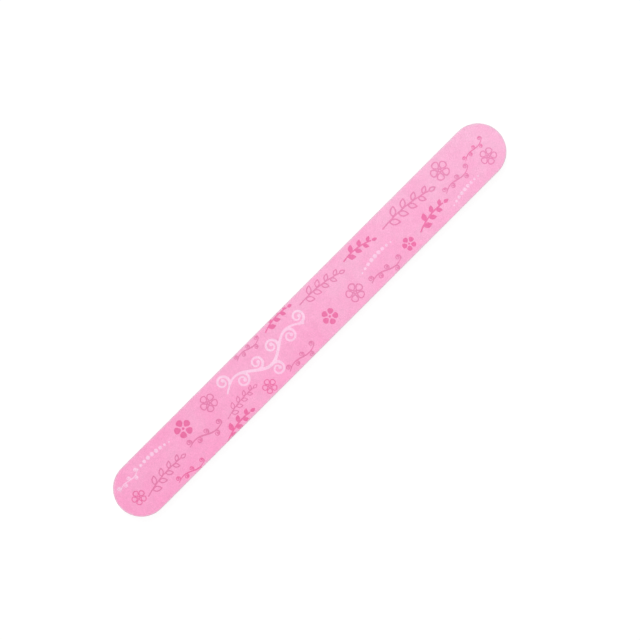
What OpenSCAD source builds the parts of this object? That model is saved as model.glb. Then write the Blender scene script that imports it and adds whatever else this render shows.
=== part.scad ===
// Cushioned nail file: a die-cut laminate with a rigid plastic core, a foam layer and an
// abrasive sheet on each side of it. It lies on its finer face, with its length along X.

/* [Board] */
// Length of the board, end to end
board_length = 178; // [100:1:220]
// Width of the board, which its half-round ends share
board_width = 19; // [12:0.5:32]

/* [Core] */
// Thickness of the rigid plastic strip in the middle
core_thickness = 1; // [0.6:0.1:2.4]
// Radius that takes the sharpness off the strip's punched rims
core_rim_radius = 0.15; // [0.05:0.01:0.25]

/* [Foam] */
// Thickness of each foam layer
foam_thickness = 0.9; // [0.6:0.1:3]
// How far the foam stands back from the board's outline at its tapes
foam_setback = 0.1; // [0:0.01:0.3]
// How much deeper the foam's cut edge is drawn in at mid height
foam_waist_depth = 0.14; // [0.05:0.01:0.25]

/* [Adhesive tapes] */
// Thickness of each tape between the core and a foam layer
core_tape_thickness = 0.06; // [0.03:0.01:0.15]
// Thickness of each tape between a foam layer and its paper
paper_tape_thickness = 0.06; // [0.03:0.01:0.15]
// How far every tape stands back from the board's outline
tape_setback = 0.06; // [0:0.01:0.2]

/* [Abrasive sheets] */
// Thickness of each backing paper
paper_thickness = 0.3; // [0.2:0.01:0.6]
// Radius of each backing paper's cut rims
paper_rim_radius = 0.08; // [0.02:0.01:0.09]
// Thickness of the resin that bonds the grit to its paper
bond_coat_thickness = 0.06; // [0.04:0.01:0.12]
// How far the resin stands back from the board's outline
bond_coat_setback = 0.03; // [0:0.01:0.1]
// Height of the coarser grit on the upper face
upper_grit_height = 0.14; // [0.1:0.01:0.3]
// Height of the finer grit on the lower face
lower_grit_height = 0.1; // [0.06:0.01:0.3]
// How far both coats of grit stand back from the board's outline, where the die shed grains
grit_setback = 0.08; // [0:0.01:0.2]
// Share of its height by which a coat of grit is bevelled along its outer rim
grit_bevel_share = 0.5; // [0.2:0.05:0.9]

/* [Hidden] */
$fn = 128;

// Plan of the board: two half-round ends joined by a straight run
end_radius = board_width / 2;
straight_run = board_length - board_width;

// Heights at which the layers seat on each other, from the table upwards
lower_bond_coat_z = lower_grit_height;
lower_paper_z = lower_bond_coat_z + bond_coat_thickness;
lower_paper_tape_z = lower_paper_z + paper_thickness;
lower_foam_z = lower_paper_tape_z + paper_tape_thickness;
lower_core_tape_z = lower_foam_z + foam_thickness;
core_z = lower_core_tape_z + core_tape_thickness;
upper_core_tape_z = core_z + core_thickness;
upper_foam_z = upper_core_tape_z + core_tape_thickness;
upper_paper_tape_z = upper_foam_z + foam_thickness;
upper_paper_z = upper_paper_tape_z + paper_tape_thickness;
upper_bond_coat_z = upper_paper_z + paper_thickness;
upper_grit_z = upper_bond_coat_z + bond_coat_thickness;

// Printed ink on the grit, and the materials that show along the cut edge
print_pink = "#F9ACD1";
resin_rose = "#D98DB0";
paper_white = "#F7F0EE";
tape_clear = "#E9DCCB";
foam_pink = "#F6BBD6";
core_white = "#F8F4F5";

// Sweeps a half section, drawn with its reach along X and its height along Y, round the plan
module board_sweep() {
    rotate([90, 0, 90])
        linear_extrude(height = straight_run, center = true) {
            children();
            mirror([1, 0]) children();
        }
    for (side = [-1, 1])
        translate([side * straight_run / 2, 0, 0])
            rotate([0, 0, -side * 90])
                rotate_extrude(angle = 180) children();
}

// Half section of a film that is cut square, as a tape or a coat of resin is
module square_half_section(setback, height) {
    square([end_radius - setback, height]);
}

// Half section of a sheet whose upper and lower rims are both rounded
module rounded_half_section(setback, height, rim) {
    reach = end_radius - setback;
    square([reach - rim, height]);
    translate([reach - rim, rim]) square([rim, height - 2 * rim]);
    for (y = [rim, height - rim])
        translate([reach - rim, y]) circle(r = rim);
}

// Half section of a layer whose upper rim is bevelled off
module bevelled_half_section(setback, height, bevel) {
    reach = end_radius - setback;
    polygon([[0, 0], [reach, 0], [reach, height - bevel], [reach - bevel, height], [0, height]]);
}

// Half section of a foam layer, whose cut edge is drawn in along an arc
module waisted_half_section(setback, height, waist) {
    reach = end_radius - setback;
    arc_radius = (height * height / 4 + waist * waist) / (2 * waist);
    difference() {
        square([reach, height]);
        translate([reach - waist + arc_radius, height / 2]) circle(r = arc_radius);
    }
}

// The coats of grit: flat to the eye, with the outer rim bevelled where the die shed grains
module grit_coat(height) {
    color(print_pink) board_sweep() bevelled_half_section(grit_setback, height, height * grit_bevel_share);
}

// The resin that holds the grit on its paper
module bond_coat() {
    color(resin_rose) board_sweep() square_half_section(bond_coat_setback, bond_coat_thickness);
}

// The backing paper that the grit is coated on
module backing_paper() {
    color(paper_white) board_sweep() rounded_half_section(0, paper_thickness, paper_rim_radius);
}

// A double-sided adhesive tape
module adhesive_tape(thickness) {
    color(tape_clear) board_sweep() square_half_section(tape_setback, thickness);
}

// A layer of closed-cell foam
module foam_layer() {
    color(foam_pink) board_sweep() waisted_half_section(foam_setback, foam_thickness, foam_waist_depth);
}

// The rigid plastic strip that stiffens the board
module core() {
    color(core_white)
        translate([0, 0, core_z])
            board_sweep() rounded_half_section(0, core_thickness, core_rim_radius);
}

module lower_grit() {
    translate([0, 0, lower_grit_height]) mirror([0, 0, 1]) grit_coat(lower_grit_height);
}

module lower_bond_coat() {
    translate([0, 0, lower_bond_coat_z]) bond_coat();
}

module lower_paper() {
    translate([0, 0, lower_paper_z]) backing_paper();
}

module lower_paper_tape() {
    translate([0, 0, lower_paper_tape_z]) adhesive_tape(paper_tape_thickness);
}

module lower_foam() {
    translate([0, 0, lower_foam_z]) foam_layer();
}

module lower_core_tape() {
    translate([0, 0, lower_core_tape_z]) adhesive_tape(core_tape_thickness);
}

module upper_core_tape() {
    translate([0, 0, upper_core_tape_z]) adhesive_tape(core_tape_thickness);
}

module upper_foam() {
    translate([0, 0, upper_foam_z]) foam_layer();
}

module upper_paper_tape() {
    translate([0, 0, upper_paper_tape_z]) adhesive_tape(paper_tape_thickness);
}

module upper_paper() {
    translate([0, 0, upper_paper_z]) backing_paper();
}

module upper_bond_coat() {
    translate([0, 0, upper_bond_coat_z]) bond_coat();
}

module upper_grit() {
    translate([0, 0, upper_grit_z]) grit_coat(upper_grit_height);
}

lower_grit();
lower_bond_coat();
lower_paper();
lower_paper_tape();
lower_foam();
lower_core_tape();
core();
upper_core_tape();
upper_foam();
upper_paper_tape();
upper_paper();
upper_bond_coat();
upper_grit();
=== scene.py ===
# %% [markdown]
# # A printed, cushioned nail file
# The real file is punched out of a sheet that was glued up first: a stiff plastic strip in the
# middle, then foam, tape, paper and a coat of abrasive grit on both sides of it. A pink pattern is
# printed over the grit. Here the measured solids come in as a frame, the layers whose cut edge or
# grit shows are built again on top of them with their real surface, and every layer gets the
# finish of its own material.

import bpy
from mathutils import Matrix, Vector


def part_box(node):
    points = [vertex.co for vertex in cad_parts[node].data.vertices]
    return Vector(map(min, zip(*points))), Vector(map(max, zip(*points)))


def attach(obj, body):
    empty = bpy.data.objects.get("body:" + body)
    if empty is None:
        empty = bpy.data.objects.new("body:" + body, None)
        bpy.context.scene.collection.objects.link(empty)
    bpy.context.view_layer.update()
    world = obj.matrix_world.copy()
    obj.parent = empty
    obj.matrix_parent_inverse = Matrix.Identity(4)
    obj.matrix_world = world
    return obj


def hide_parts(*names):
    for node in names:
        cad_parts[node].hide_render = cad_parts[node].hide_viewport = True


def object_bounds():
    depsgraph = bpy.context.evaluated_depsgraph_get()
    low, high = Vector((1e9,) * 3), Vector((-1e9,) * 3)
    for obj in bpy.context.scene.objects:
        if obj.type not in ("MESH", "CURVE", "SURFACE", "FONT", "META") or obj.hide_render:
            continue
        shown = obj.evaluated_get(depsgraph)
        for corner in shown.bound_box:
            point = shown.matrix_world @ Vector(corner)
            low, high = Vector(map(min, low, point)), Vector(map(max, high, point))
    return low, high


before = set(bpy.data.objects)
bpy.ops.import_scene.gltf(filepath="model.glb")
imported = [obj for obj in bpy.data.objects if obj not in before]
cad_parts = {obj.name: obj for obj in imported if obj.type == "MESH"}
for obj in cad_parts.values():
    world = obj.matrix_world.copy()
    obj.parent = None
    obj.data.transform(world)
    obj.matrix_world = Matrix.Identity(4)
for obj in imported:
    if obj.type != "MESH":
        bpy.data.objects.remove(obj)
cad_low, cad_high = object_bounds()

# %% Modules and units
import math
import random

import bpy
import numpy as np
from mathutils import Vector, noise
from mathutils.bvhtree import BVHTree
from mathutils.geometry import delaunay_2d_cdt
from mathutils.kdtree import KDTree

MM = 0.001  # the frame is in metres, and sizes are easier to read in millimetres
print("Made with Blender", bpy.app.version_string)

# %% [markdown]
# ## The board's own sizes
# The plan of the board is a straight run with a half-round end at each side. Every layer follows
# that plan, only drawn in a little more or less, so the plan is measured from the frame once and
# all the pieces below are made from it. So are the heights at which one layer ends and the next
# begins, and pieces that lie on each other in the frame do so here too.

# %% Measure the plan
board_length = cad_high[0] - cad_low[0]
board_width = cad_high[1] - cad_low[1]
board_middle = (cad_low[2] + cad_high[2]) / 2
end_radius = board_width / 2
run_half = board_length / 2 - end_radius
print(f"Board {board_length / MM:.1f} x {board_width / MM:.1f} mm, end radius {end_radius / MM:.2f} mm")


# %% Measure a layer
def setback(node):
    """How far a CAD layer stands back from the plan."""
    low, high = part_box(node)
    return (board_width - (high[1] - low[1])) / 2


def levels(node):
    """The heights of a CAD layer's underside and top."""
    return [corner[2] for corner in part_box(node)]


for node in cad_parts:
    low, high = levels(node)
    print(f"{node}: {low / MM:.2f} to {high / MM:.2f} mm up, {setback(node) / MM:.2f} mm in")


# %% A ring round the plan
def plan_ring(inset, step):
    """Points round the plan, counter-clockwise, about a step apart and drawn in by the inset.
    Also gives the number of steps in each end, which is even."""
    radius = end_radius - inset
    arc_steps = 2 * round(math.pi * end_radius / step / 2)
    run_steps = round(2 * run_half / step)
    points = []
    for side in (1, -1):
        for k in range(arc_steps):
            angle = math.pi * (k / arc_steps - 0.5)
            points.append((side * (run_half + radius * math.cos(angle)), side * radius * math.sin(angle)))
        for k in range(run_steps):
            points.append((side * run_half * (1 - 2 * k / run_steps), side * radius))
    return points, arc_steps


def inset_at(x, y):
    """How far a place lies in from the edge of the plan."""
    return end_radius - math.hypot(max(abs(x) - run_half, 0.0), y)


print("A ring 1 mm in, at 1 mm steps:", len(plan_ring(1 * MM, 1 * MM)[0]), "points")

# %% [markdown]
# ## Small tools for nodes
# Materials and Geometry Nodes are both networks of nodes. One helper adds a node, sets its options
# and links its inputs, and that is all that either network needs. Map Range is the node used most:
# its inputs 1 and 2 are the range that comes in, and 3 and 4 the range that goes out. A colour is
# written as the hex value that an eye would pick on a screen, and one function turns it to the
# linear light values that a shader works in.

# %% Node and colour helpers
FAMILIES = ("ShaderNode", "GeometryNode", "FunctionNode", "Node")  # a kind's full name starts so


def in_use(sockets):
    """The sockets that a node shows. A Mix node holds one set for each kind of value."""
    return [socket for socket in sockets if socket.enabled]


def add(tree, kind, *given, **settings):
    """Adds a node. Its inputs are given in their order, or by name in a dict at the end. Each is a
    value, a socket or a node, or a list of them where the socket takes several links."""
    family = next(family for family in FAMILIES if hasattr(bpy.types, family + kind))
    node = tree.nodes.new(family + kind)
    for name, value in settings.items():
        setattr(node, name, value)
    by_name = given[-1] if given and isinstance(given[-1], dict) else {}
    in_order = dict(enumerate(given[:-1] if by_name else given))
    shown = in_use(node.inputs)
    for key, values in (in_order | by_name).items():
        socket = shown[key] if key in in_order else next(s for s in shown if s.name == key)
        for value in values if isinstance(values, list) else [values]:
            if isinstance(value, bpy.types.Node):
                value = in_use(value.outputs)[0]
            if isinstance(value, bpy.types.NodeSocket):
                tree.links.new(value, socket)
            else:
                socket.default_value = value
    return node


def linear(hex_colour):
    """The linear colour of an sRGB hex value, with alpha."""
    channels = [int(hex_colour[k : k + 2], 16) / 255 for k in (1, 3, 5)]
    return (*[c / 12.92 if c <= 0.04045 else ((c + 0.055) / 1.055) ** 2.4 for c in channels], 1.0)


print("Print pink in linear light:", [round(c, 3) for c in linear("#F9ACD1")])

# %% [markdown]
# ## Geometry trees with named inputs
# A geometry tree is a recipe for a shape. Its named inputs are the sizes that a maker would ask
# for, so one recipe gives many shapes. `new_tree` starts a recipe, and `close_tree` joins its
# shapes and ends it in Realize Instances and Set Material, so that what comes out is plain geometry
# with its finish on. `grow` runs a recipe on an object that is only there for that, and hands back
# an ordinary mesh.

# %% Start and end a geometry tree
SOCKET_KINDS = {bool: "NodeSocketBool", int: "NodeSocketInt", float: "NodeSocketFloat"}


def new_tree(name, **sizes):
    """Starts a geometry tree with the given sizes as inputs. Returns the tree and its inputs."""
    tree = bpy.data.node_groups.new(name, "GeometryNodeTree")
    tree.interface.new_socket("Geometry", in_out="INPUT", socket_type="NodeSocketGeometry")
    tree.interface.new_socket("Geometry", in_out="OUTPUT", socket_type="NodeSocketGeometry")
    for title, value in sizes.items():
        socket = tree.interface.new_socket(title, in_out="INPUT", socket_type=SOCKET_KINDS[type(value)])
        socket.default_value = value
    tree.interface.new_socket("finish", in_out="INPUT", socket_type="NodeSocketMaterial")
    return tree, add(tree, "GroupInput").outputs


def close_tree(tree, given, *shapes):
    """Joins the shapes, and ends the tree in Realize Instances and Set Material."""
    joined = add(tree, "JoinGeometry", list(shapes))
    plain = add(tree, "RealizeInstances", joined)
    finished = add(tree, "SetMaterial", {"Geometry": plain, "Material": given["finish"]})
    add(tree, "GroupOutput", finished)
    return tree


print("Kinds of size that a recipe can ask for:", ", ".join(kind.__name__ for kind in SOCKET_KINDS))


# %% Run a geometry tree
def new_object(name, data):
    """An object made of some data, linked to the scene."""
    made = bpy.data.objects.new(name, data)
    bpy.context.scene.collection.objects.link(made)
    return made


def grow(tree, base=None, **values):
    """Runs a tree on a base mesh, with some inputs given, and returns a plain mesh."""
    carrier = new_object(tree.name, base or bpy.data.meshes.new(tree.name))
    modifier = carrier.modifiers.new(tree.name, "NODES")
    modifier.node_group = tree
    identifiers = {s.name: s.identifier for s in tree.interface.items_tree if s.in_out == "INPUT"}
    for name, value in values.items():
        modifier[identifiers[name]] = value
    graph = bpy.context.evaluated_depsgraph_get()
    mesh = bpy.data.meshes.new_from_object(
        carrier.evaluated_get(graph), preserve_all_data_layers=True, depsgraph=graph
    )
    bpy.data.objects.remove(carrier)
    return mesh


# %% [markdown]
# ## The printed grit
# Real grit of this kind is aluminium oxide, a few hundredths of a millimetre across, fixed in resin
# and then printed on with a matt screen ink. To the eye that gives a flat, even pink that turns to
# a dry glitter in raking light. The colour is painted a little paler towards one end, as painted
# sheen, and towards one long edge, as painted light from the side of the key lamp. The ink lies in
# soft broad patches, takes unevenly from grain to grain, misses a few grains altogether, and is
# darker in the hollows than on the tips, partly where it lies thicker and partly as painted shade.
# Along the rim the die has chipped it, and bare pale grit shows, in a greyer colour that also paints
# shade along the edge. The grains are too fine to show at their real size, so the pattern is drawn
# about three times as coarse, and the relief two to four times. All of it could be painted as a
# picture, but a pattern that is worked out from the place needs no picture and stays sharp however
# near the camera comes.

# %% Starting a finish
SURFACE = ("Base Color", "Roughness", "Normal")  # what most finishes drive with their patterns


def new_finish(name, constants):
    """Starts a material with some constants set on its shader. Returns the material, its tree and
    the place in the object that its patterns follow."""
    material = bpy.data.materials.new(name)
    material.use_nodes = True
    tree = material.node_tree
    for socket, value in constants.items():
        tree.nodes["Principled BSDF"].inputs[socket].default_value = value
    print("Finish:", name)
    return material, tree, add(tree, "TexCoord").outputs["Object"]


def wire(tree, *nodes, sockets=SURFACE):
    """Links the ends of a finish's network to the shader."""
    for node, socket in zip(nodes, sockets):
        tree.links.new(in_use(node.outputs)[0], tree.nodes["Principled BSDF"].inputs[socket])


print("A finish drives", ", ".join(SURFACE))

# %% Sizes of the grit's pattern
DRAWN_GRAIN = 0.2 * MM  # the real grains are about 0.07 mm across
INK_DRIFT = 7 * MM  # how far apart the broad patches lie, where the ink is fuller or thinner
FULL_INK_AND_SHADE, THIN_INK_AND_LIGHT = (1.008, 0.935, 0.975, 1), (0.99, 1.06, 1.02, 1)  # what they do to a colour, in the patches and in the painted light across the board
INK_MOTTLE = 1.6 * MM  # how far apart the small patches lie
GRAIN_BITE = 0.05 * MM  # the finest roughness, on a grain's own faces
TIP_DEPTH = 0.09 * MM  # how far below the tips the colour reaches its darkest, from thicker ink and painted shade
CHIPPED_AND_SHADED_RIM = 0.65 * MM  # how far in from the edge the ink is chipped and the rim painted grey as shade
print(f"{board_width / DRAWN_GRAIN:.0f} drawn grains across the board")


# %% Bare grit
BARE_GRIT_AND_RIM_SHADE = "#DDCAD3"  # pale grit in clear resin, greyed so that along the rim it is also painted shade


def nearest_spine(tree, place):
    """The nearest place on the board's spine, the line between the middles of its two ends."""
    split = add(tree, "SeparateXYZ", place).outputs
    spine = add(tree, "Clamp", {"Value": split["X"], "Min": -run_half, "Max": run_half})
    return add(tree, "CombineXYZ", {"X": spine, "Z": split["Z"]})


def bare_grit_and_rim_shade(tree, place, luck):
    """How bare each grain is: a few all over, and more of them towards the chipped rim, where the greyer
    bare colour is also painted shade along the edge.
    """
    away = add(tree, "VectorMath", place, nearest_spine(tree, place), operation="DISTANCE")
    # painted shade: more of the grey bare colour towards the edge, all round
    rim = add(tree, "MapRange", away.outputs["Value"], end_radius - CHIPPED_AND_SHADED_RIM, end_radius, 0.0, 0.85)
    odds = add(tree, "Math", luck, rim, operation="ADD")
    return add(tree, "MapRange", odds, 0.95, 1.15, 0.0, 0.8)


print(f"The ink is chipped over the outer {CHIPPED_AND_SHADED_RIM / MM:.2f} mm")


# %% Ink that lies thick and thin
PAINTED_LIGHT_LEAN = 0.15  # added to the patches at one long edge and taken off at the other: painted light, paler on the side of the key lamp


def ink_patches_and_painted_light(tree, place, across):
    """What the broad patches do to a colour, with painted light added: paler towards the long edge on the
    side of the key lamp.
    """
    patches = add(tree, "TexNoise", {"Vector": place, "Scale": 1 / INK_DRIFT, "Detail": 2.0})
    # painted light: the tone leans paler towards the +Y edge, where the key lamp stands
    lean = add(tree, "MapRange", across, cad_low[1], cad_high[1], -PAINTED_LIGHT_LEAN, PAINTED_LIGHT_LEAN)
    drift_and_painted_light = add(tree, "Math", patches, lean, operation="ADD")
    thin = add(tree, "MapRange", drift_and_painted_light, 0.3, 0.7)
    return add(tree, "Mix", thin, FULL_INK_AND_SHADE, THIN_INK_AND_LIGHT, data_type="RGBA")


def ink_depth_and_painted_shade(tree, height):
    """Darker in the hollows, partly where the ink lies thicker and partly as painted shade, and paler on
    the tips of either face.
    """
    level = add(tree, "Math", height, board_middle, operation="SUBTRACT")
    level = add(tree, "Math", level, operation="ABSOLUTE")
    tip = cad_high[2] - board_middle
    # partly painted shade: the colour darkens with depth below the tips
    return add(tree, "MapRange", level, tip - TIP_DEPTH, tip, 0.93, 1.06)


print(f"Broad patches of ink lie {INK_DRIFT / MM:.0f} mm apart")


# %% Printed grit
def printed_grit(name, near_end, far_end_painted_paler):
    """Screen-printed ink on coated aluminium oxide grit, painted a little paler at the far end as painted
    sheen.
    """
    material, tree, place = new_finish(name, {"Specular IOR Level": 0.35})
    split = add(tree, "SeparateXYZ", place).outputs
    # painted sheen: each ink runs from its near colour to a paler one at the far end
    along = add(tree, "MapRange", split["X"], cad_low[0], cad_high[0])
    ink = add(tree, "Mix", along, linear(near_end), linear(far_end_painted_paler), data_type="RGBA")

    broad_and_painted_light, depth = ink_patches_and_painted_light(tree, place, split["Y"]), ink_depth_and_painted_shade(tree, split["Z"])
    patches = add(tree, "TexNoise", {"Vector": place, "Scale": 1 / INK_MOTTLE, "Detail": 3.0})
    patchy = add(tree, "MapRange", patches, 0.3, 0.7, 0.972, 1.025)
    grains = add(tree, "TexVoronoi", {"Vector": place, "Scale": 1 / DRAWN_GRAIN})
    take = add(tree, "SeparateColor", grains.outputs["Color"]).outputs
    uneven = add(tree, "MapRange", take["Red"], 0.0, 1.0, 0.96, 1.03)
    for factor in (broad_and_painted_light, patchy, uneven, depth):
        ink = add(tree, "Mix", 1.0, ink, factor, data_type="RGBA", blend_type="MULTIPLY")
    bare_and_rim_shade = bare_grit_and_rim_shade(tree, place, take["Blue"])
    # the grey bare colour: chipped ink, and along the rim painted shade as well
    ink = add(tree, "Mix", bare_and_rim_shade, ink, linear(BARE_GRIT_AND_RIM_SHADE), data_type="RGBA")

    gloss = add(tree, "MapRange", take["Green"], 0.0, 1.0, 0.36, 0.78)
    bite = add(tree, "TexNoise", {"Vector": place, "Scale": 1 / GRAIN_BITE, "Detail": 1.0})
    bump = add(tree, "Bump", {"Height": bite, "Strength": 0.5, "Distance": GRAIN_BITE / 4})
    relief = {"Height": grains, "Strength": 0.55, "Distance": DRAWN_GRAIN / 6, "Normal": bump}
    bump = add(tree, "Bump", relief, invert=True)
    wire(tree, ink, gloss, bump)
    return material


# the second colour of each ink is paler, for the painted sheen at the far end
inks = {
    "pink": printed_grit("screen_ink_pink", "#FAA2CC", "#FAB5D7"),
    "mauve": printed_grit("screen_ink_mauve", "#E47AA9", "#EB8AB8"),
    "rose": printed_grit("screen_ink_rose", "#EC6CA3", "#EE7AAF"),
    "pale": printed_grit("screen_ink_pale", "#FCC8E4", "#FDD2EA"),
}
print("Inks:", ", ".join(inks))

# %% [markdown]
# ## Motifs for the print
# The board carries a tone-on-tone print. Ours is a common garden pattern of sprigs, blossoms,
# curling vines and strings of dots, in strokes about half a millimetre wide. Each kind of motif is
# a geometry tree: leaves are instanced along a stem, petals round a centre and curls along a wave.
# They are flat curves given a width, because they will be used as a screen printer's stencil and
# never seen themselves.

# %% Strokes and solid shapes
STROKE = 0.48 * MM  # of most motifs
print(f"A stroke is drawn {STROKE / MM:.2f} mm wide")


def strokes(tree, given, curves, weight=1.0):
    """Flat lines of the motif's stroke width along curves."""
    across = add(tree, "CurvePrimitiveLine", {"Start": (-0.5, 0, 0), "End": (0.5, 0, 0)})
    width = add(tree, "Math", given["stroke"], weight, operation="MULTIPLY")
    level = add(tree, "SetCurveNormal", {"Curve": curves}, mode="Z_UP")
    return add(tree, "CurveToMesh", {"Curve": level, "Profile Curve": across, "Scale": width})


def solids(tree, curves):
    """Closed curves filled in one by one, so that shapes that overlap leave no hole."""
    own = add(tree, "InputIndex")
    return add(tree, "FillCurve", {"Curve": curves, "Group ID": own}, mode="NGONS")


def strokes_or_solids(tree, given, curves):
    """Closed curves as lines, or filled where the motif asks for solid shapes."""
    plain = add(tree, "RealizeInstances", curves)
    drawn = {"Switch": given["solid"], "False": strokes(tree, given, plain), "True": solids(tree, plain)}
    return add(tree, "Switch", drawn, input_type="GEOMETRY")


# %% A leaf or a petal
LEAF_POINTS = 28
ROUND, SHARP = 1.15, 2.0  # how pointed a petal and a leaf are
print("Points round a leaf:", LEAF_POINTS)


def leaf_outline(tree, start, length, width, pointed, swell):
    """A closed outline along +X, bent from a circle. Pointed is 1 for a round tip and 2 for a
    sharp one, and a positive swell makes it wider at its tip."""
    circle = add(tree, "CurvePrimitiveCircle", {"Resolution": LEAF_POINTS, "Radius": 1.0})
    split = add(tree, "SeparateXYZ", add(tree, "InputPosition")).outputs
    reach = add(tree, "Math", split["X"], 0.5, 0.5, operation="MULTIPLY_ADD")
    x = add(tree, "Math", reach, length, start, operation="MULTIPLY_ADD")
    size = add(tree, "Math", split["Y"], operation="ABSOLUTE")
    size = add(tree, "Math", size, pointed - 1.0, operation="POWER")
    swollen = add(tree, "Math", split["X"], swell, 1.0, operation="MULTIPLY_ADD")
    y = split["Y"]
    for factor in (size, swollen, width):
        y = add(tree, "Math", y, factor, operation="MULTIPLY")
    place = add(tree, "CombineXYZ", x, y)
    return add(tree, "SetPosition", {"Geometry": circle, "Position": place})


# %% Stems, and what grows from them
STEM_POINTS = 24
print("Points along a stem:", STEM_POINTS)


def bowed_line(tree, given):
    """A line along X of the motif's length, bent upwards by its bow."""
    ends = {name: add(tree, "VectorMath", way, {"Scale": given[size]}, operation="SCALE")
            for name, way, size in (("Start", (-0.5, 0, 0), "length"), ("Middle", (0, 2, 0), "bow"),
                                    ("End", (0.5, 0, 0), "length"))}
    return add(tree, "CurveQuadraticBezier", {"Resolution": STEM_POINTS, **ends})


def buds(tree, stem, start, end, count, first_side):
    """Places to grow from along part of a stem, the stem's heading there, and the side of the stem
    that each is for, which is 1 or -1 in turn."""
    part = add(tree, "TrimCurve", {"Curve": stem, "Start": start, "End": end})
    points = add(tree, "CurveToPoints", {"Curve": part, "Count": count})
    way = add(tree, "SeparateXYZ", points.outputs["Tangent"]).outputs
    heading = add(tree, "Math", way["Y"], way["X"], operation="ARCTAN2")
    parity = add(tree, "Math", add(tree, "InputIndex"), 2.0, operation="MODULO")
    side = add(tree, "Math", parity, -2 * first_side, first_side, operation="MULTIPLY_ADD")
    return points, heading, side


# %% Sprig
def sprig_recipe():
    """A bowed stem with leaves to either side in turn, and one at its tip."""
    tree, given = new_tree(
        "Sprig", length=20 * MM, bow=1.0 * MM, leaves=9, leaf_length=3.6 * MM, leaf_width=0.95 * MM,
        lean=0.8, stroke=STROKE, solid=False,
    )
    stem = bowed_line(tree, given)
    points, heading, side = buds(tree, stem, 0.16, 1.0, given["leaves"], -1.0)
    index = add(tree, "InputIndex")
    after = add(tree, "Math", index, 1.5, operation="ADD")
    last = add(tree, "Math", given["leaves"], after, operation="GREATER_THAN")
    lean = add(tree, "Math", side, given["lean"], operation="MULTIPLY")
    turn = add(tree, "Math", lean, last, heading, operation="MULTIPLY_ADD")
    share = add(tree, "Math", index, given["leaves"], operation="DIVIDE")
    size = add(tree, "MapRange", share, 0.0, 1.0, 1.0, 0.62)
    leaf = leaf_outline(tree, 0.35 * MM, given["leaf_length"], given["leaf_width"], SHARP, -0.2)
    leaves = add(tree, "InstanceOnPoints", {
        "Points": points, "Instance": leaf, "Scale": size,
        "Rotation": add(tree, "CombineXYZ", {"Z": turn}),
    })
    return close_tree(tree, given, strokes(tree, given, stem), strokes_or_solids(tree, given, leaves))


sprig = sprig_recipe()
print("Sprig:", len(sprig.nodes), "nodes")


# %% Blossom
def blossom_recipe():
    """Petals round a small heart."""
    tree, given = new_tree(
        "Blossom", petals=5, petal_length=2.4 * MM, petal_width=1.15 * MM, heart=0.8 * MM,
        stroke=0.46 * MM, solid=False,
    )
    index = add(tree, "InputIndex")
    turns = add(tree, "Math", index, given["petals"], operation="DIVIDE")
    angle = add(tree, "Math", turns, math.tau, operation="MULTIPLY")
    start = add(tree, "Math", given["heart"], 1.15, operation="MULTIPLY")
    petal = leaf_outline(tree, start, given["petal_length"], given["petal_width"], ROUND, 0.32)
    petals = add(tree, "InstanceOnPoints", {
        "Points": add(tree, "Points", {"Count": given["petals"]}),
        "Instance": petal,
        "Rotation": add(tree, "CombineXYZ", {"Z": angle}),
    })
    inner = add(tree, "Math", given["heart"], 0.62, operation="MULTIPLY")
    heart = add(tree, "CurvePrimitiveCircle", {"Resolution": 20, "Radius": inner})
    shapes = [strokes_or_solids(tree, given, curves) for curves in (petals, heart)]
    return close_tree(tree, given, *shapes)


blossom = blossom_recipe()
print("Blossom:", len(blossom.nodes), "nodes")


# %% Lines that follow a rule
VINE_POINTS, CURL_POINTS = 56, 34
print("Points along a vine and its curls:", VINE_POINTS, "and", CURL_POINTS)


def line_on(tree, count, x, y):
    """A line of so many points, laid on the places with these coordinates."""
    line = add(tree, "ResampleCurve", {"Curve": add(tree, "CurvePrimitiveLine"), "Count": count})
    return add(tree, "SetPosition", {"Geometry": line, "Position": add(tree, "CombineXYZ", x, y)})


def fullest_in_middle(tree, factor, at_ends):
    """A size that is 1 in the middle of a run, and swells to that from what it is at the ends."""
    half_turn = add(tree, "Math", factor, math.pi, operation="MULTIPLY")
    arch = add(tree, "Math", half_turn, operation="SINE")
    return add(tree, "MapRange", arch, 0.0, 1.0, at_ends, 1.0)


def angle_at(tree, factor, turns):
    """The angle that is reached at a share of a number of turns."""
    share = add(tree, "Math", factor, turns, operation="MULTIPLY")
    return add(tree, "Math", share, math.tau, operation="MULTIPLY")


# %% Stem and curl of a vine
CURL_END = 0.28  # how wide a curl is at its end, as a share of its width at the stem
print(f"A curl narrows to {CURL_END:.0%}")


def vine_stem(tree, given, factor):
    """A line of the motif's length, laid in waves."""
    middle = add(tree, "Math", factor, 0.5, operation="SUBTRACT")
    swing = add(tree, "Math", angle_at(tree, factor, given["waves"]), operation="SINE")
    x = add(tree, "Math", middle, given["length"], operation="MULTIPLY")
    y = add(tree, "Math", swing, given["wave"], operation="MULTIPLY")
    return line_on(tree, VINE_POINTS, x, y)


def vine_curl(tree, given, factor):
    """A spiral that leaves the stem along it and narrows to its end."""
    angle = angle_at(tree, factor, given["turns"])
    narrow = add(tree, "MapRange", factor, 0.0, 1.0, 1.0, CURL_END)
    radius = add(tree, "Math", narrow, given["curl_radius"], operation="MULTIPLY")
    sine, cosine = (add(tree, "Math", angle, operation=wave) for wave in ("SINE", "COSINE"))
    drop = add(tree, "Math", radius, cosine, operation="MULTIPLY")
    x = add(tree, "Math", radius, sine, operation="MULTIPLY")
    y = add(tree, "Math", given["curl_radius"], drop, operation="SUBTRACT")
    return line_on(tree, CURL_POINTS, x, y)


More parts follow.
